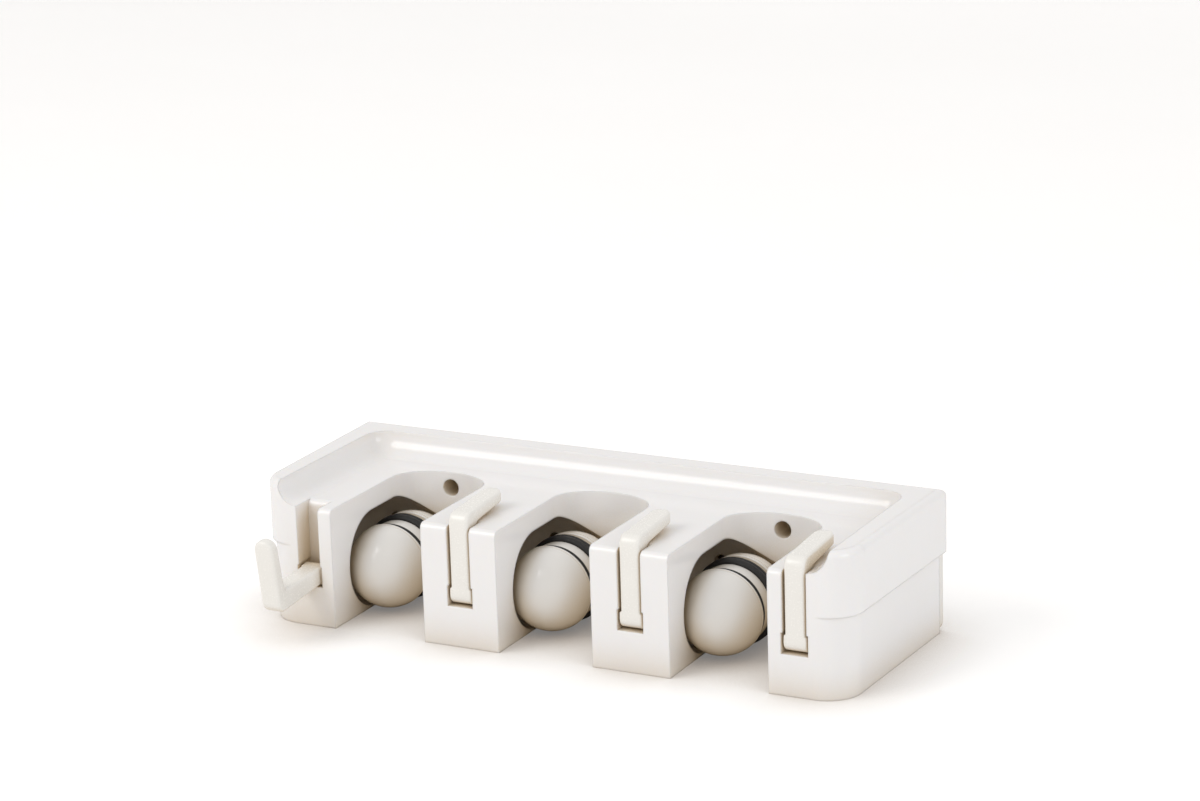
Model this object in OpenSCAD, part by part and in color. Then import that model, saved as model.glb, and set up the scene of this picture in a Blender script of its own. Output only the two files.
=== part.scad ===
// Wall tool holder: three handle slots, each with a gripping roller that rides
// up a sloping track, four fold-out hooks and a shallow tray on top.
// X runs along the wall, Y points to the wall, Z is up.
// The origin is on the wall, midway between the two wall screws.

/* [Body] */
// Distance from one handle slot to the next
pitch = 76; // [74:0.5:90]
// Width of a block at the front
block_w = 34; // [33:0.5:37]
// Depth from the wall to the fronts of the blocks
body_d = 92; // [91:0.5:110]
// Height of the side and rear rails
body_h = 60; // [58:0.5:64]
// Height of the tray floor
tray_z = 50.5; // [49:0.25:50.5]
// Width of a side rail at the front
rail_w = 9; // [8:0.25:11]
// Width of the rear rail
rear_rail_w = 11; // [9.5:0.25:13]
// Radius of the two round front corners
corner_r = 14; // [10:0.25:15]
// Radius along the upper outer edges of the rails
rail_edge_r = 3; // [1:0.25:4]
// Radius along the front edges of the block tops
front_edge_r = 2.5; // [1:0.25:4]
// Extra width at the wall on each side
flare = 2.5; // [1.5:0.25:4]
// Height of the step in the two end faces
step_z = 33.5; // [28:0.5:38]
// How far the step stands out at the wall
step_out = 1.2; // [0.4:0.1:1.4]
// How far the step stands out at the front corners
step_front = 1.6; // [0.4:0.1:1.8]
// Thickness of the moulded walls
wall = 3; // [2.5:0.25:3.5]

/* [Back cover] */
// Thickness of the back cover
cover_t = 4; // [3:0.25:5]
// Depth of the hollow behind the rollers, from the wall
hollow_d = 17; // [16:0.25:17.5]
// Radius of the cover's lower corners
cover_corner_r = 4; // [1:0.5:8]

/* [Handle slots] */
// Distance from the wall to the back of a slot
slot_back = 27; // [26:0.5:30]
// Distance from the wall to where a slot's sides start to curve
arch_start = 42; // [41:0.5:46]
// Radius of the curve at each side of a slot's back
arch_r = 12; // [9:0.5:12]

/* [Rollers] */
// Radius of the two domes of a roller
roller_r = 17.6; // [16:0.1:17.8]
// Radius of the grip ring
grip_r = 18.1; // [17.9:0.1:18.4]
// Radius of the spool between the domes
spool_r = 16.4; // [15:0.1:16.6]
// Distance from the wall to the front dome's rim
roller_front = 59.5; // [58.5:0.25:60]
// Distance between the rims of the two domes
roller_l = 18.4; // [18.2:0.1:19.5]
// Distance from a slot's left side to the resting roller's axis
roller_out = 7.5; // [7:0.1:10]
// Height of the resting roller's axis
roller_z = 18.2; // [18.2:0.1:20]
// Slope of the track in degrees
track_angle = 20; // [16:0.5:21]
// Travel of a roller along its track
travel = 19; // [14:0.5:19]
// Radius of the axle
axle_r = 3; // [2:0.25:3.5]

/* [Hooks] */
// Distance from an end block's inner side to its hook's centre
end_hook_in = 11.1; // [9:0.1:13]
// Width of the recess that holds a folded hook
recess_w = 10.2; // [9.6:0.1:11]
// Depth of that recess
recess_d = 9.5; // [9.4:0.1:10]
// Height of the recess floor
recess_z = 17; // [16:0.1:17]
// Width of a hook's arm
hook_w = 8.6; // [6:0.1:9]
// Height of the hook pivots
pivot_z = 21.6; // [21.6:0.1:24]
// Distance from the front faces back to the pivots
pivot_in = 4.2; // [4.2:0.1:4.8]
// Thickness of a hook's arm under its tip
arm_t = 8.8; // [8:0.1:8.9]
// Height of a folded hook's front end
hook_top = 56.2; // [56.2:0.1:57.4]
// Length of a hook's tip, from the arm's front face
tip_l = 32; // [20:0.5:34]
// Thickness of the tip where it leaves the arm
tip_root_t = 5.6; // [5:0.1:5.6]
// Thickness of the tip at its end
tip_end_t = 4.8; // [3:0.1:5]
// How much the tip of a folded hook rises towards the wall
tip_rise = 1.8; // [1.4:0.1:2.2]
// Radius of the stubs that a hook turns on
stub_r = 2; // [1.5:0.1:2.5]
// Angle between a folded hook and a lowered one
hook_swing = 95; // [90:1:95]

/* [Wall screws] */
// Height of the wall screws above the base
screw_z = 43.6; // [43.6:0.1:44]
// Distance of the screws to the left of the slots' middles
screw_shift = 1.5; // [0:0.1:3]
// Radius of a wall screw hole
screw_r = 2.25; // [1.75:0.05:2.75]
// Radius of the bore that a screw's head goes through
access_r = 3.6; // [3.4:0.05:3.9]

/* [Hidden] */
$fn = 96;
body_fn = 32;        // the body has many more curves than any other piece

// Room between pieces
free_gap = 0.3;      // pieces that must not touch
run_gap = 0.06;      // radial play of a pin in its bore
tunnel_gap = 1.7;    // room around a roller in its tunnel
end_gap = 0.4;       // further room at the two ends of the track
eps = 0.01;
past = 1;            // how far a cut runs past a face
lap = 2;             // how far a straight edge's cut runs into a corner's cut
edge_drop = 0.05;     // the round of a rail edge ends this far under the top, so no face thins to nothing
lap_angle = 5;       // how far before its end a corner's cut stops

// Colours
shell_white = "#ecebe8";
hook_white = "#e9e6de";
roller_grey = "#d2cfc7";
rubber_black = "#262626";
steel_grey = "#a9adb0";
guide_grey = "#8f9296";

// Body
slot_w = pitch - block_w;
front_w = 3 * pitch + block_w;
half_w = front_w / 2;
cove_r = body_h - tray_z;
floor_half = half_w - rail_w - cove_r;
rim_under = tray_z - wall;
slot_x = [for (i = [-1 : 1]) i * pitch];
hollow_half = half_w + flare - step_out - wall;
cover_half = half_w + flare - wall;

// Rollers and their track, seen from the front
axis_x = roller_out - slot_w / 2;
track_dir = [-cos(track_angle), 0, sin(track_angle)];
roller_back = roller_front - roller_l;
tunnel_r = roller_r + tunnel_gap;
room_lead = 5;       // how far up the track the tunnel starts to follow it
skirt = 0.8;         // straight part of a dome behind its rim
clip_t = 1.1;
clip_r = 6;
clip_room_r = 7;
axle_front = 2;      // how far the axle reaches in front of the front rim
hub_r = 5.5;
hub_room = 1.4;      // how far a hub stops short of the tunnel's rear end
hub_end = roller_back - tunnel_r + hub_room;

// Rings on a spool, from the front rim
thin_ring_at = 3.4;
thin_ring_t = 1.8;
thin_ring_r = spool_r + 0.4;
grip_at = 10.2;
grip_w = 5.6;
grip_depth = 2.4;
grip_edge_r = 1.8;

// Guide channel on the back cover and the shoe that slides in it
shoe_l = 14;
shoe_h = 12;
guide_t = 2;

// Hooks
foot_w = 10;
foot_h = 4;
foot_t = 7.6;
foot_room = 0.6;
arm_front = pivot_in - free_gap;
hook_rise = hook_top - pivot_z;
hook_root = hook_rise - tip_root_t;
elbow_r = 4.2;
inner_r = 1.5;
stub_l = 1.4;
end_hook_x = half_w - block_w + end_hook_in;
hook_x = [-end_hook_x, -pitch / 2, pitch / 2, end_hook_x];

// Screws that hold the back cover
cover_screw_r = 1.5;
cover_screw_l = 14;
cover_head_r = 3.2;
cover_head_h = 1.9;
boss_r = 3.5;
boss_merge = 0.6;    // how far an outer boss runs into the side wall
boss_top_z = 42;
boss_low_z = 8;
boss_side_x = hollow_half - boss_r + boss_merge;
boss_slot_x = 18;
cover_screw_places = concat(
    [for (x = [-boss_side_x, -pitch / 2, pitch / 2, boss_side_x]) [x, boss_top_z]],
    [[-boss_side_x, boss_low_z]],
    [for (x = slot_x) [x + boss_slot_x, boss_low_z]]
);

// Bosses round the two wall screws
wall_boss_r = 6.5;
screw_seat_t = 2;
wall_screw_x = [slot_x[0] - screw_shift, slot_x[2] - screw_shift];

// Moves the body from its own centre to the frame between the wall screws
module in_frame() {
    translate([screw_shift, 0, -screw_z]) children();
}

// Turns a shape drawn along Z so that it runs along +Y from the given point
module toward_wall(x, y, z) {
    translate([x, y, z]) rotate([-90, 0, 0]) children();
}

// A cylinder along X, centred on the given point
module along_x(x, y, z, r, l) {
    translate([x - l / 2, y, z]) rotate([0, 90, 0]) cylinder(r = r, h = l);
}

// Plan of the body: w_front and w_back are its half widths at the front and at the wall
module body_plan(w_front, w_back) {
    lean = atan2(w_back - w_front, body_d);
    centre_x = w_front - corner_r * (1 - sin(lean)) / cos(lean);
    centre_y = corner_r - body_d;
    touch_x = centre_x + corner_r * cos(lean);
    touch_y = centre_y - corner_r * sin(lean);
    for (side = [-1, 1]) {
        translate([side * centre_x, centre_y]) circle(corner_r);
    }
    polygon([
        [-w_back, 0], [-touch_x, touch_y], [-centre_x, centre_y], [-centre_x, -body_d],
        [centre_x, -body_d], [centre_x, centre_y], [touch_x, touch_y], [w_back, 0],
    ]);
}

// The tray: flat floor, coved sides and back, open at the front
module tray_cut() {
    front_y = -body_d - past;
    back_y = -rear_rail_w - cove_r;
    translate([-floor_half, front_y, tray_z])
        cube([2 * floor_half, back_y - front_y, cove_r + past]);
    for (side = [-1, 1]) {
        toward_wall(side * floor_half, front_y, body_h) cylinder(r = cove_r, h = back_y - front_y);
        translate([side * floor_half, back_y, body_h]) sphere(cove_r);
    }
    along_x(0, back_y, body_h, cove_r, 2 * floor_half);
}

// Plan of a handle slot, round at the back with three arcs
module slot_plan() {
    half = slot_w / 2;
    side_x = half - arch_r;
    rise = arch_start - slot_back;
    back_r = (side_x * side_x + rise * rise - arch_r * arch_r) / (2 * (rise - arch_r));
    back_y = -slot_back - back_r;
    aim = 2 * back_r / norm([side_x, back_r - rise]);
    translate([-half, -body_d - past]) square([slot_w, body_d + past - arch_start]);
    for (side = [-1, 1]) {
        translate([side * side_x, -arch_start]) circle(arch_r);
    }
    intersection() {
        translate([0, back_y]) circle(back_r);
        translate([0, back_y]) polygon([
            [0, 0], [side_x * aim, (back_r - rise) * aim], [-side_x * aim, (back_r - rise) * aim],
        ]);
    }
}

// A round-ended slot along the track, seen from the front, for a bar of radius r;
// lead is how far up the track it starts
module track_outline(r, lead) {
    rotate(180 - track_angle) {
        translate([lead, 0]) circle(r);
        translate([lead, -r]) square([travel - lead, 2 * r]);
        translate([travel, 0]) circle(r);
    }
}

// The same slot cut through from depth y0 to y1
module track_cut(r, lead, y0, y1) {
    translate([0, y1, 0]) rotate([90, 0, 0]) linear_extrude(y1 - y0) track_outline(r, lead);
}

// Outline of the room round a roller, its axis along Y
module room_outline(r) {
    for (y = [-roller_front, -roller_back]) {
        translate([0, y]) circle(r);
    }
    translate([-r, -roller_front]) square([2 * r, roller_l]);
}

// Room that a roller sweeps, from its resting place to the end of its track
module tunnel_cut() {
    intersection() {
        rotate([0, track_angle - 90, 0]) translate([0, 0, -2 * tunnel_r])
            linear_extrude(travel + 4 * tunnel_r) room_outline(tunnel_r);
        track_cut(tunnel_r + end_gap, room_lead, -body_d, past + tunnel_r - roller_back);
    }
}

// Puts children at the resting axis of the roller in slot i
module at_roller(i) {
    translate([slot_x[i] + axis_x, 0, roller_z]) children();
}

// Recess of one hook with its wider foot and the two stub sockets
module hook_recess(x) {
    translate([x - recess_w / 2, -body_d - past, recess_z])
        cube([recess_w, recess_d + past, body_h]);
    translate([x - recess_w / 2 - foot_room, -body_d - past, recess_z])
        cube([recess_w + 2 * foot_room, recess_d + past, pivot_z + foot_h - recess_z]);
    along_x(x, pivot_in - body_d, pivot_z, stub_r + run_gap, foot_w + 2 * stub_l + free_gap);
}

// Rounds the upper outer edge of one side rail, its front corner included
module rail_edge_cut(side) {
    lean = atan2(flare, body_d);
    centre_x = half_w - corner_r * (1 - sin(lean)) / cos(lean);
    low_z = body_h - rail_edge_r - edge_drop;
    mirror([side < 0 ? 1 : 0, 0, 0]) {
        translate([half_w, -body_d, 0]) rotate([0, 0, -lean]) difference() {
            translate([-rail_edge_r, half_w - centre_x - lap, low_z])
                cube([rail_edge_r + past, body_d, rail_edge_r + past]);
            toward_wall(-rail_edge_r, 0, low_z) cylinder(r = rail_edge_r, h = 2 * body_d);
        }
        translate([centre_x, corner_r - body_d, 0]) intersection() {
            rotate_extrude() difference() {
                translate([corner_r - rail_edge_r, low_z])
                    square([rail_edge_r + past, rail_edge_r + past]);
                translate([corner_r - rail_edge_r, low_z]) circle(rail_edge_r);
            }
            rotate([0, 0, lap_angle - lean]) translate([0, -2 * corner_r, 0])
                cube([2 * corner_r, 2 * corner_r, 2 * body_h]);
        }
    }
}

// Rounds a straight edge along X; up and back point into the material's outside
module straight_edge_cut(y, z, r, l, y_side) {
    difference() {
        translate([-l / 2, y_side > 0 ? y - r : y - past, z - r]) cube([l, r + past, r + past]);
        along_x(0, y - y_side * r, z - r, r, l + 2 * past);
    }
}

// Hollow behind the slots, open to the wall
module back_hollow() {
    translate([-hollow_half, -hollow_d, wall])
        cube([2 * hollow_half, hollow_d + past, rim_under - wall]);
    translate([-hollow_half, wall - rear_rail_w, rim_under - eps])
        cube([2 * hollow_half, rear_rail_w, body_h - wall - rim_under]);
}

// Hollow of the right-hand block, which holds no roller
module plain_block_hollow() {
    inner_x = half_w - block_w + wall;
    front_y = recess_d + wall - body_d;
    translate([inner_x, front_y, wall])
        cube([block_w - 2 * wall - step_front, -hollow_d - front_y + eps, tray_z - 2 * wall]);
}

// Seat of the back cover: under the step it takes the whole back
module cover_seat() {
    translate([-2 * half_w, -cover_t, -past]) cube([4 * half_w, cover_t + past, step_z + past]);
    translate([-cover_half, -cover_t, step_z - eps])
        cube([2 * cover_half, cover_t + past, body_h - wall - step_z]);
}
module housing() {
    $fn = body_fn;
    color(shell_white) in_frame() difference() {
        union() {
            difference() {
                union() {
                    linear_extrude(step_z) body_plan(half_w - step_front, half_w + flare - step_out);
                    translate([0, 0, step_z]) linear_extrude(body_h - step_z)
                        body_plan(half_w, half_w + flare);
                }
                back_hollow();
            }
            for (p = cover_screw_places) {
                toward_wall(p[0], -hollow_d - eps, p[1])
                    cylinder(r = boss_r, h = hollow_d - cover_t + eps);
            }
            for (x = wall_screw_x) {
                toward_wall(x, -hollow_d - eps, screw_z)
                    cylinder(r = wall_boss_r, h = hollow_d - cover_t + eps);
            }
        }
        cover_seat();
        plain_block_hollow();
        tray_cut();
        for (x = slot_x) {
            translate([x, 0, -past]) linear_extrude(body_h) slot_plan();
        }
        for (i = [0 : 2]) {
            at_roller(i) {
                tunnel_cut();
                track_cut(axle_r + free_gap, 0, -roller_back, -hollow_d + past);
            }
        }
        for (x = hook_x) {
            hook_recess(x);
            translate([x, 0, 0])
                straight_edge_cut(recess_d - body_d, tray_z, front_edge_r, recess_w, -1);
        }
        for (p = cover_screw_places) {
            toward_wall(p[0], -cover_screw_l - eps, p[1])
                cylinder(r = cover_screw_r, h = cover_screw_l);
        }
        for (x = wall_screw_x) {
            toward_wall(x, -slot_back - past, screw_z)
                cylinder(r = access_r, h = slot_back + past - cover_t - screw_seat_t);
            toward_wall(x, -slot_back, screw_z) cylinder(r = screw_r, h = slot_back + past);
        }
        for (side = [-1, 1]) {
            rail_edge_cut(side);
        }
        straight_edge_cut(-body_d, tray_z, front_edge_r, 2 * floor_half, -1);
        straight_edge_cut(0, body_h, rail_edge_r, 4 * half_w, 1);
    }
}

// Outline of the back cover, seen from the front
module cover_outline() {
    low_half = half_w + flare - step_out - free_gap;
    top_half = cover_half - free_gap;
    top_z = body_h - wall - free_gap;
    for (side = [-1, 1]) {
        translate([side * (low_half - cover_corner_r), cover_corner_r]) circle(cover_corner_r);
    }
    translate([cover_corner_r - low_half, 0]) square([2 * (low_half - cover_corner_r), step_z]);
    translate([-low_half, cover_corner_r])
        square([2 * low_half, step_z - free_gap - cover_corner_r]);
    translate([-top_half, cover_corner_r]) square([2 * top_half, top_z - cover_corner_r]);
}

// One closed guide channel, in which a shoe slides along the track
module guide() {
    in_l = travel + shoe_l + 2 * free_gap;
    in_h = shoe_h + 2 * free_gap;
    start = -shoe_l / 2 - free_gap;
    reach = hollow_d - free_gap;
    rotate([0, track_angle - 180, 0]) difference() {
        translate([start - guide_t, -reach, -in_h / 2 - guide_t])
            cube([in_l + 2 * guide_t, reach - cover_t + eps, in_h + 2 * guide_t]);
        translate([start, -reach - past, -in_h / 2])
            cube([in_l, reach - cover_t + past, in_h]);
    }
}

module back_cover() {
    color(shell_white) in_frame() difference() {
        union() {
            rotate([90, 0, 0]) linear_extrude(cover_t) cover_outline();
            for (i = [0 : 2]) {
                at_roller(i) guide();
            }
        }
        for (p = cover_screw_places) {
            toward_wall(p[0], -cover_t - past, p[1])
                cylinder(r = cover_screw_r + run_gap, h = cover_t + 2 * past);
            toward_wall(p[0], -cover_head_h, p[1])
                cylinder(r1 = cover_screw_r, r2 = cover_head_r, h = cover_head_h);
            toward_wall(p[0], 0, p[1]) cylinder(r = cover_head_r, h = past);
        }
        for (x = wall_screw_x) {
            toward_wall(x, -cover_t - past, screw_z) cylinder(r = screw_r, h = cover_t + 2 * past);
        }
    }
}

module cover_screws() {
    color(steel_grey) in_frame() for (p = cover_screw_places) {
        toward_wall(p[0], -cover_screw_l, p[1])
            cylinder(r = cover_screw_r, h = cover_screw_l - cover_head_h + eps);
        toward_wall(p[0], -cover_head_h, p[1])
            cylinder(r1 = cover_screw_r, r2 = cover_head_r, h = cover_head_h);
    }
}

// Puts children on the axis of roller i, with Z along the axis and 0 at its front rim
module on_axis(i) {
    in_frame() at_roller(i) toward_wall(0, -roller_front, 0) children();
}

module front_dome(i) {
    color(roller_grey) on_axis(i) difference() {
        union() {
            intersection() {
                sphere(roller_r);
                translate([0, 0, -roller_r]) cylinder(r = 2 * roller_r, h = roller_r);
            }
            cylinder(r = roller_r, h = skirt);
        }
        translate([0, 0, -axle_front - past]) cylinder(r = clip_room_r, h = axle_front + skirt + 2 * past);
    }
}

module spool(i) {
    color(roller_grey) on_axis(i) difference() {
        translate([0, 0, skirt]) cylinder(r = spool_r, h = roller_l - 2 * skirt);
        translate([0, 0, -past]) cylinder(r = axle_r + run_gap, h = roller_l + 2 * past);
        translate([0, 0, thin_ring_at - thin_ring_t / 2]) difference() {
            cylinder(r = spool_r + past, h = thin_ring_t);
            cylinder(r = thin_ring_r - thin_ring_t, h = thin_ring_t);
        }
        translate([0, 0, grip_at]) difference() {
            cylinder(r = spool_r + past, h = grip_w);
            cylinder(r = spool_r - grip_depth, h = grip_w);
        }
    }
}

module rear_dome(i) {
    hub_l = roller_back - hub_end;
    color(roller_grey) on_axis(i) translate([0, 0, roller_l]) difference() {
        union() {
            intersection() {
                sphere(roller_r);
                cylinder(r = 2 * roller_r, h = roller_r);
            }
            translate([0, 0, -skirt]) cylinder(r = roller_r, h = skirt);
            cylinder(r = hub_r, h = hub_l);
        }
        translate([0, 0, -past]) cylinder(r = axle_r + free_gap, h = 2 * roller_r);
    }
}

module grip_ring(i) {
    inner = spool_r - grip_depth;
    color(rubber_black) on_axis(i) translate([0, 0, grip_at]) rotate_extrude() {
        translate([inner, 0]) square([grip_r - grip_edge_r - inner, grip_w]);
        translate([inner, grip_edge_r]) square([grip_r - inner, grip_w - 2 * grip_edge_r]);
        translate([grip_r - grip_edge_r, grip_edge_r]) circle(grip_edge_r);
        translate([grip_r - grip_edge_r, grip_w - grip_edge_r]) circle(grip_edge_r);
    }
}

module thin_ring(i) {
    color(rubber_black) on_axis(i) translate([0, 0, thin_ring_at]) rotate_extrude()
        translate([thin_ring_r - thin_ring_t / 2, 0]) circle(thin_ring_t / 2);
}

module axle(i) {
    axle_l = roller_front + axle_front - cover_t - free_gap;
    color(steel_grey) on_axis(i) translate([0, 0, -axle_front]) cylinder(r = axle_r, h = axle_l);
}

module clip(i) {
    color(steel_grey) on_axis(i) translate([0, 0, skirt - free_gap - clip_t]) difference() {
        cylinder(r = clip_r, h = clip_t);
        translate([0, 0, -past]) cylinder(r = axle_r, h = clip_t + 2 * past);
    }
}

module shoe(i) {
    shoe_front = hollow_d - 2 * free_gap;
    color(guide_grey) in_frame() at_roller(i) difference() {
        rotate([0, track_angle - 180, 0])
            translate([-shoe_l / 2, -shoe_front, -shoe_h / 2])
            cube([shoe_l, shoe_front - cover_t - free_gap, shoe_h]);
        toward_wall(0, -2 * hollow_d, 0) cylinder(r = axle_r, h = 2 * hollow_d);
    }
}

// Side view of a folded hook, with its pivot at 0 and the wall to the right
module hook_side() {
    arm_back = arm_t - arm_front;
    end_y = tip_l - arm_front;
    polygon([
        [-arm_front, 0], [foot_t - arm_front, 0], [arm_back, hook_root],
        [arm_back, hook_rise - elbow_r], [-arm_front, hook_rise - elbow_r],
    ]);
    translate([elbow_r - arm_front, hook_rise - elbow_r]) circle(elbow_r);
    polygon([
        [elbow_r - arm_front, hook_rise], [end_y, hook_rise + tip_rise],
        [end_y, hook_rise + tip_rise - tip_end_t],
        [arm_back, hook_root], [elbow_r - arm_front, hook_root],
    ]);
    difference() {
        translate([arm_back - eps, hook_root - inner_r]) square(inner_r + 2 * eps);
        translate([arm_back + inner_r, hook_root - inner_r]) circle(inner_r);
    }
}

// One folded hook at the origin: arm, round-ended tip, wider foot and its stubs
module folded_hook() {
    end_r = hook_w / 2;
    end_y = tip_l - arm_front - end_r;
    intersection() {
        rotate([90, 0, 90]) translate([0, 0, -hook_w / 2]) linear_extrude(hook_w) hook_side();
        union() {
            translate([-hook_w, -2 * tip_l, -hook_rise]) cube([2 * hook_w, 2 * tip_l + end_y, 3 * hook_rise]);
            translate([0, end_y, -hook_rise]) cylinder(r = end_r, h = 3 * hook_rise);
        }
    }
    along_x(0, 0, 0, arm_front, foot_w);
    translate([-foot_w / 2, -arm_front, 0]) cube([foot_w, foot_t, foot_h - foot_room]);
    along_x(0, 0, 0, stub_r, foot_w + 2 * stub_l);
}

module hook(i, swing) {
    color(hook_white) in_frame() translate([hook_x[i], pivot_in - body_d, pivot_z])
        rotate([swing, 0, 0]) folded_hook();
}

housing();
back_cover();
cover_screws();
front_dome(0);  // roller_1_front_dome
spool(0);  // roller_1_spool
rear_dome(0);  // roller_1_rear_dome
grip_ring(0);  // roller_1_grip_ring
thin_ring(0);  // roller_1_thin_ring
axle(0);  // roller_1_axle
clip(0);  // roller_1_clip
shoe(0);  // roller_1_shoe
front_dome(1);  // roller_2_front_dome
spool(1);  // roller_2_spool
rear_dome(1);  // roller_2_rear_dome
grip_ring(1);  // roller_2_grip_ring
thin_ring(1);  // roller_2_thin_ring
axle(1);  // roller_2_axle
clip(1);  // roller_2_clip
shoe(1);  // roller_2_shoe
front_dome(2);  // roller_3_front_dome
spool(2);  // roller_3_spool
rear_dome(2);  // roller_3_rear_dome
grip_ring(2);  // roller_3_grip_ring
thin_ring(2);  // roller_3_thin_ring
axle(2);  // roller_3_axle
clip(2);  // roller_3_clip
shoe(2);  // roller_3_shoe
hook(0, hook_swing);  // hook_1
hook(1, 0);  // hook_2
hook(2, 0);  // hook_3
hook(3, 0);  // hook_4
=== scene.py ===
import math

import bmesh
import bpy
from mathutils import Matrix, Vector


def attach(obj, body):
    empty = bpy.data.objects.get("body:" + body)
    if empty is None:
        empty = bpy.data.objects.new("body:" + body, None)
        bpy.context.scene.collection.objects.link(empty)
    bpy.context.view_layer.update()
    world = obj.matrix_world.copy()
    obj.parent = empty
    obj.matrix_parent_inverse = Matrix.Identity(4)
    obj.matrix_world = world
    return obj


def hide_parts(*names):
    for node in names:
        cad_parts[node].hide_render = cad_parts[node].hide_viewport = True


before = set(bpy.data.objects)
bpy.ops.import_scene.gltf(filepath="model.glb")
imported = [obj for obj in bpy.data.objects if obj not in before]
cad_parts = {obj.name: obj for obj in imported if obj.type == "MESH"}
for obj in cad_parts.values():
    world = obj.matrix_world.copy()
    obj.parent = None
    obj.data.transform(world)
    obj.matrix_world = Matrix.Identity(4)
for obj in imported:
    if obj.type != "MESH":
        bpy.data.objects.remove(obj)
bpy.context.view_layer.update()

# The studio: the holder stands on a seamless white sweep, seen from its right front and a
# little above through a long lens. One large soft box hangs upper left in front, a weaker one
# on the right, and white walls all round fill the shadows.
MM = 0.001
BASE_Z = -43.6 * MM
AIM = Vector((2.446, -35.232, -13.401)) * MM
CAMERA_AZIMUTH, CAMERA_HEIGHT, CAMERA_ROLL = 27.6012, 16.0027, -1.7942
CAMERA_DISTANCE = 1443.10 * MM
CAMERA_SIDE, CAMERA_UP = -4.272 * MM, 59.280 * MM
FOCAL_LENGTH, PICTURE_WIDTH = 3542.22, 1200  # in pixels
FILM_WIDTH = 36
LAMP_AIM = Vector((0, -0.05, 0))

turn, lift, roll = (math.radians(a) for a in (CAMERA_AZIMUTH, CAMERA_HEIGHT, CAMERA_ROLL))
back = Vector((math.sin(turn) * math.cos(lift), -math.cos(turn) * math.cos(lift), math.sin(lift)))
level = (-back).cross(Vector((0, 0, 1))).normalized()
right = math.cos(roll) * level + math.sin(roll) * level.cross(-back)
up = right.cross(-back)
camera_data = bpy.data.cameras.new("camera")
camera_data.sensor_width = FILM_WIDTH
camera_data.lens = FILM_WIDTH * FOCAL_LENGTH / PICTURE_WIDTH
camera_data.clip_start, camera_data.clip_end = 0.05, 30
camera = bpy.data.objects.new("camera", camera_data)
bpy.context.scene.collection.objects.link(camera)
camera.matrix_world = Matrix((
    (right.x, up.x, back.x, 0),
    (right.y, up.y, back.y, 0),
    (right.z, up.z, back.z, 0),
    (0, 0, 0, 1),
))
camera.location = AIM + back * CAMERA_DISTANCE + right * CAMERA_SIDE + up * CAMERA_UP
bpy.context.scene.camera = camera
bpy.context.scene.view_settings.view_transform = "Standard"


def linear(hex_code):
    """sRGB hex to linear RGBA."""
    parts = [int(hex_code[i:i + 2], 16) / 255 for i in (1, 3, 5)]
    return [p / 12.92 if p <= 0.04045 else ((p + 0.055) / 1.055) ** 2.4 for p in parts] + [1]


def add(tree, kind, sockets=None, **settings):
    """Adds one node: settings are its properties, sockets its inputs, by value or by link."""
    node = tree.nodes.new(kind)
    for name, value in settings.items():
        setattr(node, name, value)
    for name, value in (sockets or {}).items():
        if isinstance(value, bpy.types.NodeSocket):
            tree.links.new(value, node.inputs[name])
        else:
            node.inputs[name].default_value = value
    return node


def soft_box(name, watts, size, place, colour):
    """A square lamp with a diffusing front, aimed at the holder."""
    data = bpy.data.lights.new(name, "AREA")
    data.energy, data.size, data.color = watts, size, linear(colour)[:3]
    lamp = bpy.data.objects.new(name, data)
    lamp.location = place
    lamp.rotation_euler = (LAMP_AIM - Vector(place)).to_track_quat("-Z", "Y").to_euler()
    bpy.context.scene.collection.objects.link(lamp)


soft_box("key_box", 9.4, 0.9, (-0.9, -1.1, 1.25), "#FFFDFA")
soft_box("side_box", 4.2, 0.7, (1.5, -0.5, 0.7), "#F6FAFF")

# The walls give their light to the holder, and the camera sees them pure white.
world = bpy.data.worlds.new("white_studio")
bpy.context.scene.world = world
world.use_nodes = True
room = world.node_tree
room.nodes.clear()
seen = add(room, "ShaderNodeLightPath")
fill = add(room, "ShaderNodeBackground", {"Color": linear("#FAFAFB"), "Strength": 0.8})
plain = add(room, "ShaderNodeBackground", {"Color": (1, 1, 1, 1), "Strength": 1.0})
pick = add(room, "ShaderNodeMixShader", {
    "Fac": seen.outputs["Is Camera Ray"],
    1: fill.outputs[0],
    2: plain.outputs[0],
})
add(room, "ShaderNodeOutputWorld", {"Surface": pick.outputs[0]})

# The sweep: a sheet that lies under the holder and bends up into a wall behind it.
SWEEP_HALF, SWEEP_FRONT, SWEEP_BEND, BEND_R, SWEEP_TOP = 6.0, -3.0, 1.2, 0.8, 3.0

profile = [(SWEEP_FRONT, 0), (SWEEP_BEND, 0)]
for angle in (math.radians(a) for a in range(10, 91, 10)):
    profile.append((SWEEP_BEND + BEND_R * math.sin(angle), BEND_R - BEND_R * math.cos(angle)))
profile.append((SWEEP_BEND + BEND_R, SWEEP_TOP))
sweep_mesh = bmesh.new()
left_row, right_row = (
    [sweep_mesh.verts.new((x, y, BASE_Z + z)) for y, z in profile] for x in (-SWEEP_HALF, SWEEP_HALF)
)
for i in range(len(profile) - 1):
    strip = sweep_mesh.faces.new((left_row[i], right_row[i], right_row[i + 1], left_row[i + 1]))
    strip.smooth = True
sweep_data = bpy.data.meshes.new("paper_sweep")
sweep_mesh.to_mesh(sweep_data)
sweep = bpy.data.objects.new("paper_sweep", sweep_data)
bpy.context.scene.collection.objects.link(sweep)


def blank_material(name):
    """A new material and its empty node tree."""
    stuff = bpy.data.materials.new(name)
    stuff.use_nodes = True
    stuff.node_tree.nodes.clear()
    return stuff, stuff.node_tree


# White background paper: dull, with the fibre showing only as a very faint unevenness. Close
# under the holder its colour is painted brown as a painted shadow, and further off it goes pure
# white.
PAINTED_SHADOW_REACH = 32 * MM

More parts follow.
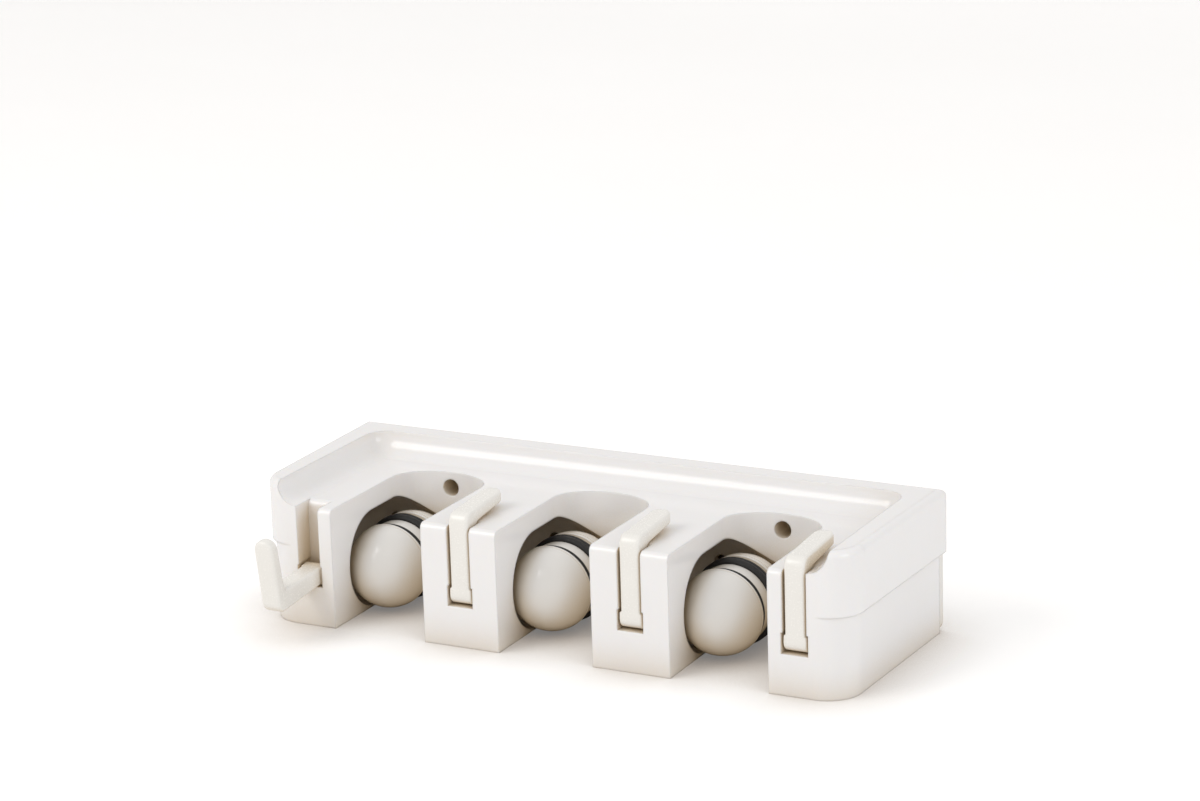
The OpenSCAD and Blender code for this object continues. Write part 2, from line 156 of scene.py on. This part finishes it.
paper, tree = blank_material("white_paper")
fibre = add(tree, "ShaderNodeTexNoise", {"Scale": 60.0, "Detail": 4.0})
pulp = add(tree, "ShaderNodeMix", {
    "Factor": fibre.outputs["Fac"],
    "A": linear("#F9F7F5"),
    "B": linear("#FBFAF8"),
}, data_type="RGBA")
# Painted shadow: near the holder the paper's colour is mixed towards brown by ambient occlusion.
painted_shadow_ao = add(tree, "ShaderNodeAmbientOcclusion", {"Distance": PAINTED_SHADOW_REACH}, samples=4)
tone = add(tree, "ShaderNodeMix", {
    "Factor": painted_shadow_ao.outputs["AO"],
    "A": linear("#8C7659"),
    "B": pulp.outputs["Result"],
}, data_type="RGBA")
sheet = add(tree, "ShaderNodeBsdfPrincipled", {
    "Base Color": tone.outputs["Result"],
    "Roughness": 0.55,
})
glow = add(tree, "ShaderNodeEmission", {"Color": (1, 1, 1, 1), "Strength": 0.17})
lit = add(tree, "ShaderNodeAddShader", {0: sheet.outputs[0], 1: glow.outputs[0]})
seen = add(tree, "ShaderNodeLightPath")
pick = add(tree, "ShaderNodeMixShader", {
    "Fac": seen.outputs["Is Camera Ray"],
    1: sheet.outputs[0],
    2: lit.outputs[0],
})
add(tree, "ShaderNodeOutputMaterial", {"Surface": pick.outputs[0]})
sweep_data.materials.append(paper)


# The housing: one ABS moulding with four blocks, three handle slots, the roller tunnels, the
# hook recesses and a coved tray on top. The mould leaves every outer edge softly rounded and
# the faces glossy, with a slight waviness where the walls shrank.
def moulded_plastic(name, shade, gloss, edge=0, milky=0.12):
    """Injection-moulded plastic: glossy and faintly wavy. Edge is the radius that the mould
    leaves on a CAD piece's edges, milky is how far light enters."""
    stuff, tree = blank_material(name)
    place = add(tree, "ShaderNodeTexCoord")
    # Shrink marks are 15 to 20 mm across; the polish of the mould is a 0.6 mm ripple.
    shrink = add(tree, "ShaderNodeTexNoise", {
        "Vector": place.outputs["Object"],
        "Scale": 60.0,
        "Detail": 2.0,
    })
    polish = add(tree, "ShaderNodeTexNoise", {
        "Vector": place.outputs["Object"],
        "Scale": 1600.0,
        "Detail": 3.0,
    })
    cloud = add(tree, "ShaderNodeMix", {
        "Factor": shrink.outputs["Fac"],
        "A": linear(shade[0]),
        "B": linear(shade[1]),
    }, data_type="RGBA")
    # Painted shade: in narrow places and recesses the colour is painted a warm beige, from ambient
    # occlusion.
    painted_shade_ao = add(tree, "ShaderNodeAmbientOcclusion", {"Distance": 30 * MM}, samples=4)
    painted_shade_amount = add(tree, "ShaderNodeMapRange", {
        "Value": painted_shade_ao.outputs["AO"],
        "From Min": 0.1,
        "From Max": 0.7,
    })
    colour = add(tree, "ShaderNodeMix", {
        "Factor": painted_shade_amount.outputs["Result"],
        "A": linear("#D8C5A6"),
        "B": cloud.outputs["Result"],
    }, data_type="RGBA")
    rough = add(tree, "ShaderNodeMapRange", {
        "Value": polish.outputs["Fac"],
        "From Min": 0.3,
        "From Max": 0.7,
        "To Min": gloss - 0.03,
        "To Max": gloss + 0.04,
    })
    wave = add(tree, "ShaderNodeBump", {
        "Height": shrink.outputs["Fac"],
        "Strength": 0.12,
        "Distance": 0.4 * MM,
    })
    if edge:
        softened = add(tree, "ShaderNodeBevel", {"Radius": edge}, samples=6)
        tree.links.new(softened.outputs["Normal"], wave.inputs["Normal"])
    ripple = add(tree, "ShaderNodeBump", {
        "Height": polish.outputs["Fac"],
        "Strength": 0.04,
        "Distance": 0.03 * MM,
        "Normal": wave.outputs["Normal"],
    })
    body = add(tree, "ShaderNodeBsdfPrincipled", {
        "Base Color": colour.outputs["Result"],
        "Roughness": rough.outputs["Result"],
        "Normal": ripple.outputs["Normal"],
        "IOR": 1.54,
        "Subsurface Weight": milky,
        "Subsurface Radius": (1.0, 0.8, 0.55),
        "Subsurface Scale": 2 * MM,
    })
    add(tree, "ShaderNodeOutputMaterial", {"Surface": body.outputs[0]})
    return stuff


def dress(node, stuff):
    """Gives a CAD piece its finish."""
    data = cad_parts[node].data
    data.materials.clear()
    data.materials.append(stuff)


# Glossy moulded ABS gives the eye soft-edged white faces with clear, slightly uneven highlights.
shell_abs = moulded_plastic("gloss_moulded_abs", ("#F0EEED", "#EEECEA"), 0.14, edge=1.1 * MM)
dress("housing", shell_abs)

# The back cover: a plain ABS plate let into the back of the housing, with a closed guide channel
# for each roller moulded on its inner side. It comes from a duller mould than the housing, so it
# gives the eye a flat, evenly lit back.
cover_abs = moulded_plastic("plain_moulded_abs", ("#EAE7E2", "#E6E3DD"), 0.36, edge=0.3 * MM)
dress("back_cover", cover_abs)


# The cover screws: eight countersunk steel screws, cold headed and zinc plated, that hold the
# cover to the bosses of the housing. Their heads lie flush with the cover.
def plated_steel(name, shade, gloss, grain):
    """Steel under zinc: a bluish metal whose small crystals differ a little in tone. Grain is
    how many lines of the drawing or heading cross a metre along X, Y and Z."""
    stuff, tree = blank_material(name)
    place = add(tree, "ShaderNodeTexCoord")
    # The zinc crystals are about 0.5 mm across.
    crystals = add(tree, "ShaderNodeTexVoronoi", {
        "Vector": place.outputs["Object"],
        "Scale": 2000.0,
    })
    stretch = add(tree, "ShaderNodeMapping", {"Vector": place.outputs["Object"], "Scale": grain})
    lines = add(tree, "ShaderNodeTexNoise", {
        "Vector": stretch.outputs["Vector"],
        "Scale": 1.0,
        "Detail": 4.0,
    })
    colour = add(tree, "ShaderNodeMix", {
        "Factor": crystals.outputs["Distance"],
        "A": linear(shade[0]),
        "B": linear(shade[1]),
    }, data_type="RGBA")
    rough = add(tree, "ShaderNodeMapRange", {
        "Value": lines.outputs["Fac"],
        "To Min": gloss,
        "To Max": gloss + 0.15,
    })
    scratch = add(tree, "ShaderNodeBump", {
        "Height": lines.outputs["Fac"],
        "Strength": 0.15,
        "Distance": 0.02 * MM,
    })
    metal = add(tree, "ShaderNodeBsdfPrincipled", {
        "Base Color": colour.outputs["Result"],
        "Metallic": 1.0,
        "Roughness": rough.outputs["Result"],
        "Normal": scratch.outputs["Normal"],
    })
    add(tree, "ShaderNodeOutputMaterial", {"Surface": metal.outputs[0]})
    return stuff


def skin(mesh, rings):
    """Joins each ring of vertices to the next; a ring of one vertex is a tip."""
    steps = max(len(ring) for ring in rings)
    for a, b in zip(rings, rings[1:]):
        for k in range(steps):
            corners = (a[k % len(a)], a[(k + 1) % len(a)], b[(k + 1) % len(b)], b[k % len(b)])
            mesh.faces.new(list(dict.fromkeys(corners)))


def turned(outline, axes, steps=144):
    """Mesh of a piece turned about axes along +Y, each (x, z) in mm. The outline runs
    (y, radius) in mm, where a radius may be a function of the angle."""
    mesh = bmesh.new()
    for x, z in axes:
        rings = []
        for y, size in outline:
            ring = []
            for k in range(1 if size == 0 else steps):
                angle = math.tau * k / steps
                r = size(angle) if callable(size) else size
                point = Vector((x + r * math.cos(angle), y, z + r * math.sin(angle)))
                ring.append(mesh.verts.new(point * MM))
            rings.append(ring)
        hollow = outline[0][1] != 0
        skin(mesh, rings + rings[:1] if hollow else rings)
    bmesh.ops.recalc_face_normals(mesh, faces=mesh.faces)
    return mesh


def settle(mesh, node, body, stuff, sharp_from=40):
    """Puts a finished mesh in the place of a CAD piece and hangs it on its body."""
    data = bpy.data.meshes.new(node + "_mesh")
    mesh.to_mesh(data)
    mesh.free()
    data.shade_smooth()
    data.set_sharp_from_angle(angle=math.radians(sharp_from))
    data.materials.append(stuff)
    piece = bpy.data.objects.new("fine_" + node, data)
    bpy.context.scene.collection.objects.link(piece)
    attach(piece, body)
    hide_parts(node)


def cross(arm, half_slot):
    """Radius of a driver's cross recess as a function of the angle, in mm."""
    def reach(angle):
        c, s = max(abs(math.cos(angle)), 1e-6), max(abs(math.sin(angle)), 1e-6)
        return max(min(arm / c, half_slot / s), min(half_slot / c, arm / s))
    return reach


SCREW_PLACES = [(x, -1.6) for x in (-124.9, -36.5, 39.5, 127.9)]
SCREW_PLACES += [(x, -35.6) for x in (-124.9, -56.5, 19.5, 95.5)]

screw_outline = [
    (-13.95, 0), (-13.95, 0.7), (-12.8, 1.48),  # point and shank
    (-1.9, 1.48), (-0.22, 3.14), (-0.06, 3.18), (-0.02, 3.1),  # countersunk head
    (-0.02, cross(1.75, 0.42)), (-0.08, cross(1.68, 0.36)), (-1.1, cross(0.8, 0.24)), (-1.25, 0),
]
# Zinc on headed steel gives the eye small grey discs with a cool, broken gleam.
screw_steel = plated_steel("zinc_plated_headed_steel", ("#B9BCC0", "#9DA2A8"), 0.28, (900, 900, 900))
settle(turned(screw_outline, SCREW_PLACES, 96), "cover_screws", "frame", screw_steel)

# The axles and clips: drawn steel bars of 6 mm and stamped retaining rings, zinc plated. Each
# bar sits in a grey acetal shoe that slides in the cover's guide channel. All are hidden inside,
# where the drawing lines run along the bars and the acetal stays dull.
axle_steel = plated_steel("zinc_plated_drawn_steel", ("#B6B9BD", "#A2A6AB"), 0.24, (3000, 60, 3000))
shoe_acetal = moulded_plastic("plain_moulded_acetal", ("#8F9193", "#888A8D"), 0.42, edge=0.3 * MM)
for number in (1, 2, 3):
    dress(f"roller_{number}_axle", axle_steel)
    dress(f"roller_{number}_clip", axle_steel)
    dress(f"roller_{number}_shoe", shoe_acetal)

# The rollers: three light grey ABS rollers, each of two moulded domes that clip on to a grooved
# spool. The domes are satin, end in a fine lip, and turn with the spool on the axle.
ROLLER_AXES = {1: (-88.0, -25.4), 2: (-12.0, -25.4), 3: (64.0, -25.4)}
DOME_R, FRONT_RIM, REAR_RIM = 17.6, -59.5, -41.1
LIP_GROOVE_R, LIP_ROOT_ANGLE = 17.3, 86.5
SPOOL_FRONT, SPOOL_BACK, SPOOL_R, BORE_R = -58.7, -41.9, 16.4, 3.06
GAP_R, THIN_GROOVE_R, GRIP_GROOVE_R = 14.6, 14.95, 13.95
CLIP_ROOM_R, CLIP_ROOM_END = 7.0, -62.6
HUB_R, HUB_ROOT, HUB_END, HUB_ANGLE = 5.5, -24.4, -23.25, 18.3


def filleted(corners, steps=5):
    """Outline with rounded corners; each corner is (y, radius, rounding) in mm."""
    outline = []
    for i, (y, r, size) in enumerate(corners):
        here = Vector((y, r))
        if size == 0:
            outline.append((y, r))
            continue
        before = (Vector(corners[i - 1][:2]) - here).normalized()
        after = (Vector(corners[(i + 1) % len(corners)][:2]) - here).normalized()
        half = before.angle(after) / 2
        centre = here + (before + after).normalized() * size / math.sin(half)
        start = here + before * size / math.tan(half) - centre
        bend = start.angle_signed(here + after * size / math.tan(half) - centre)
        first = math.atan2(start.y, start.x)
        for k in range(steps + 1):
            angle = first - bend * k / steps
            outline.append((centre.x + size * math.cos(angle), centre.y + size * math.sin(angle)))
    return outline


def dome_arc(rim, toward, first, last, steps=28):
    """Points of a dome's sphere; angles are from its tip, toward is -1 for the front."""
    angles = [math.radians(first + (last - first) * k / steps) for k in range(steps + 1)]
    return [(rim + toward * DOME_R * math.cos(a), DOME_R * math.sin(a)) for a in angles]


front_outline = [(FRONT_RIM - DOME_R, 0)] + dome_arc(FRONT_RIM, -1, 2, LIP_ROOT_ANGLE)
front_outline += filleted([
    (-60.4, 17.55, 0), (-60.35, LIP_GROOVE_R, 0.1), (-60.0, LIP_GROOVE_R, 0.1), (-60.0, DOME_R, 0.25),
    (SPOOL_FRONT, DOME_R, 0.4), (SPOOL_FRONT, CLIP_ROOM_R, 0.3),
    (CLIP_ROOM_END, CLIP_ROOM_R, 0.3), (CLIP_ROOM_END, 3.0, 0),
]) + [(CLIP_ROOM_END, 0)]
spool_outline = filleted([
    (SPOOL_FRONT, BORE_R, 0), (SPOOL_FRONT, GAP_R, 0), (-57.95, GAP_R, 0.2), (-57.95, SPOOL_R, 0.25),
    (-57.05, SPOOL_R, 0.15), (-57.05, THIN_GROOVE_R, 0.2),
    (-55.15, THIN_GROOVE_R, 0.2), (-55.15, SPOOL_R, 0.15),
    (-49.4, SPOOL_R, 0.2), (-49.4, GRIP_GROOVE_R, 0.2),
    (-43.6, GRIP_GROOVE_R, 0.2), (-43.6, SPOOL_R, 0.2),
    (SPOOL_BACK, SPOOL_R, 0), (SPOOL_BACK, BORE_R, 0),
])
rear_outline = filleted([
    (SPOOL_BACK, BORE_R, 0), (SPOOL_BACK, DOME_R, 0.4), (-40.6, DOME_R, 0.25),
    (-40.6, LIP_GROOVE_R, 0.1), (-40.25, LIP_GROOVE_R, 0.1), (-40.2, 17.55, 0),
]) + dome_arc(REAR_RIM, 1, LIP_ROOT_ANGLE, HUB_ANGLE)
rear_outline += filleted([(HUB_ROOT, HUB_R, 0), (HUB_END, HUB_R, 0.4), (HUB_END, BORE_R, 0)])

# Satin moulded ABS gives the eye a warm grey dome with one soft, upright gleam.
roller_abs = moulded_plastic("satin_moulded_abs", ("#EBE8E3", "#E7E4DF"), 0.17, milky=0)
roller_parts = {"front_dome": front_outline, "spool": spool_outline, "rear_dome": rear_outline}
for number, axis in ROLLER_AXES.items():
    roller = f"roller_{number}"
    for part, outline in roller_parts.items():
        settle(turned(outline, [axis]), f"{roller}_{part}", roller, roller_abs)

# The rings: a thick rubber band that grips the handle and a thin one in front of it, both
# compression moulded and stretched into grooves of the spool. The rubber is dull and black.
THIN_RING_Y, THIN_RING_R, THIN_RING_HALF, THIN_RING_STEPS = -56.1, 15.9, 0.9, 24
GRIP_R, GRIP_ROUND = 18.1, 1.7

grip_outline = filleted([
    (-49.3, 14.0, 0.3), (-49.3, GRIP_R, GRIP_ROUND),
    (-46.7, GRIP_R, 0), (-46.5, 17.95, 0), (-46.3, GRIP_R, 0),  # the mould's parting line
    (-43.7, GRIP_R, GRIP_ROUND), (-43.7, 14.0, 0.3),
])
thin_outline = []
for angle in (math.tau * k / THIN_RING_STEPS for k in range(THIN_RING_STEPS)):
    thin_outline.append((
        THIN_RING_Y + THIN_RING_HALF * math.cos(angle),
        THIN_RING_R + THIN_RING_HALF * math.sin(angle),
    ))

# Moulded rubber gives the eye a dull black band with a faint grey bloom.
rubber, tree = blank_material("dull_moulded_rubber")
place = add(tree, "ShaderNodeTexCoord")
# The mould's blasted face is a 0.4 mm grain; the rubber's bloom lies in 8 mm clouds.
grain = add(tree, "ShaderNodeTexNoise", {
    "Vector": place.outputs["Object"],
    "Scale": 2500.0,
    "Detail": 3.0,
})
bloom = add(tree, "ShaderNodeTexNoise", {
    "Vector": place.outputs["Object"],
    "Scale": 120.0,
    "Detail": 3.0,
})
tone = add(tree, "ShaderNodeMix", {
    "Factor": bloom.outputs["Fac"],
    "A": linear("#141312"),
    "B": linear("#232120"),
}, data_type="RGBA")
matt = add(tree, "ShaderNodeMapRange", {
    "Value": bloom.outputs["Fac"],
    "To Min": 0.5,
    "To Max": 0.68,
})
pebble = add(tree, "ShaderNodeBump", {
    "Height": grain.outputs["Fac"],
    "Strength": 0.3,
    "Distance": 0.04 * MM,
})
coat = add(tree, "ShaderNodeBsdfPrincipled", {
    "Base Color": tone.outputs["Result"],
    "Roughness": matt.outputs["Result"],
    "Normal": pebble.outputs["Normal"],
    "IOR": 1.5,
})
add(tree, "ShaderNodeOutputMaterial", {"Surface": coat.outputs[0]})
for number, axis in ROLLER_AXES.items():
    roller = f"roller_{number}"
    for part, outline in (("grip_ring", grip_outline), ("thin_ring", thin_outline)):
        settle(turned(outline, [axis]), f"{roller}_{part}", roller, rubber)

# The hooks: four ABS arms with a broad foot and a tip at right angles, their long edges well
# rounded by the mould. Each turns on two stubs in the walls of its recess; the first is lowered.
HOOK_PIVOTS = {1: -106.6, 2: -36.5, 3: 39.5, 4: 109.6}
PIVOT_Y, PIVOT_Z, LOWERED = -87.8, -22.0, 95
FOOT_R, FOOT_BACK, FOOT_BELLY, FOOT_HALF, FOOT_ROUND = 3.9, 3.7, 0.1, 4.95, 0.9
SHOULDER, SHOULDER_ROUND = ((1.2, FOOT_HALF), (2.2, FOOT_HALF), (2.7, 4.9), (2.9, 4.65)), 1.0
ARM_START, ARM_HALF, ARM_BACK, HOOK_ROUND = 3.3, 4.3, 4.9, 1.35
ELBOW_R, ELBOW_Y, ELBOW_Z = 4.2, 0.3, 30.4
INNER_R, INNER_Y, INNER_Z, INNER_ANGLE = 1.5, 6.4, 27.65, 84
TIP_START, TIP_END = 8.2, 28.1
TIP_ROOT_Z, TIP_END_Z, TOP_Z, TOP_END_Z = 29.0, 31.6, 34.6, 36.4
ARM_STEPS, ELBOW_STEPS, TIP_STEPS, CORNER_STEPS = 8, 12, 6, 5
FOOT_ANGLES, END_ANGLES = (84, 72, 58, 44, 30, 15, 0), (15, 30, 43, 55, 66, 75, 82, 87)
STUB, STUB_STEPS = ((-6.35, 0), (-6.35, 1.6), (-6.0, 1.95), (6.0, 1.95), (6.35, 1.6), (6.35, 0)), 32


def hook_sections():
    """Cross sections up the arm and out along the tip, in mm from the pivot: front point and
    back point as (y, z), half width, rounding."""
    rows = []
    for angle in map(math.radians, FOOT_ANGLES):
        reach, z = FOOT_R * math.cos(angle), -FOOT_R * math.sin(angle)
        rows.append(((-reach, z), (reach, z), FOOT_HALF, FOOT_ROUND))
    for z, half in SHOULDER:
        rows.append(((-FOOT_R, z), (FOOT_BACK + FOOT_BELLY, z), half, SHOULDER_ROUND))
    for k in range(ARM_STEPS + 1):
        z = ARM_START + (TIP_ROOT_Z - INNER_R - ARM_START) * k / ARM_STEPS
        rear = FOOT_BACK + (ARM_BACK - FOOT_BACK) * z / TIP_ROOT_Z
        rows.append(((-FOOT_R, z), (rear, z), ARM_HALF, HOOK_ROUND))
    for k in range(1, ELBOW_STEPS + 1):
        outer = math.radians(180 - 90 * k / ELBOW_STEPS)
        inner = math.radians(180 - INNER_ANGLE * k / ELBOW_STEPS)
        rows.append((
            (ELBOW_Y + ELBOW_R * math.cos(outer), ELBOW_Z + ELBOW_R * math.sin(outer)),
            (INNER_Y + INNER_R * math.cos(inner), INNER_Z + INNER_R * math.sin(inner)),
            ARM_HALF, HOOK_ROUND,
        ))
    bend_y = TIP_END - ARM_HALF
    stops = [TIP_START + (bend_y - TIP_START) * k / TIP_STEPS for k in range(TIP_STEPS + 1)]
    stops += [bend_y + ARM_HALF * math.sin(math.radians(a)) for a in END_ANGLES]
    for y in stops:
        narrow = max(0, y - bend_y)
        close = max(0, HOOK_ROUND - (TIP_END - y))
        half = math.sqrt(ARM_HALF ** 2 - narrow ** 2)
        drop = HOOK_ROUND - math.sqrt(HOOK_ROUND ** 2 - close ** 2)
        top = TOP_Z + (TOP_END_Z - TOP_Z) * y / TIP_END - drop
        low = TIP_ROOT_Z + (TIP_END_Z - TIP_ROOT_Z) * (y - ARM_BACK) / (TIP_END - ARM_BACK) + drop
        rows.append(((y, top), (y, low), half, HOOK_ROUND))
    return rows


def section_ring(mesh, front, rear, half, size):
    """One cross section as a ring of vertices: a rectangle with rounded corners."""
    middle = (Vector(front) + Vector(rear)) / 2
    away = Vector(front) - middle
    thick = away.length
    away.normalize()
    size = min(size, 0.9 * half, 0.9 * thick)
    ring = []
    for corner, (side_x, side_v) in enumerate(((1, 1), (-1, 1), (-1, -1), (1, -1))):
        for k in range(CORNER_STEPS + 1):
            angle = math.radians(90 * (corner + k / CORNER_STEPS))
            x = side_x * (half - size) + size * math.cos(angle)
            point = middle + away * (side_v * (thick - size) + size * math.sin(angle))
            ring.append(mesh.verts.new(Vector((x, point.x, point.y)) * MM))
    return ring


def hook_mesh(number):
    """Skins the cross sections, adds the stubs, and turns the hook into its place."""
    mesh = bmesh.new()
    rings = [section_ring(mesh, *row) for row in hook_sections()]
    skin(mesh, rings)
    mesh.faces.new(rings[0])
    mesh.faces.new(rings[-1][::-1])
    stub_rings = []
    for x, r in STUB:
        angles = [math.tau * k / STUB_STEPS for k in range(STUB_STEPS if r else 1)]
        points = [Vector((x, r * math.cos(a), r * math.sin(a))) * MM for a in angles]
        stub_rings.append([mesh.verts.new(point) for point in points])
    skin(mesh, stub_rings)
    bmesh.ops.recalc_face_normals(mesh, faces=mesh.faces)
    swing = Matrix.Rotation(math.radians(LOWERED if number == 1 else 0), 4, "X")
    pivot = Vector((HOOK_PIVOTS[number], PIVOT_Y, PIVOT_Z)) * MM
    bmesh.ops.transform(mesh, matrix=Matrix.Translation(pivot) @ swing, verts=mesh.verts)
    return mesh


# Semi-gloss moulded ABS gives the eye an off-white arm with a bright band down each rounded edge.
hook_abs = moulded_plastic("semi_gloss_moulded_abs", ("#EEEBE5", "#ECE9E2"), 0.25, milky=0)
for number in HOOK_PIVOTS:
    settle(hook_mesh(number), f"hook_{number}", f"hook_{number}", hook_abs, 50)
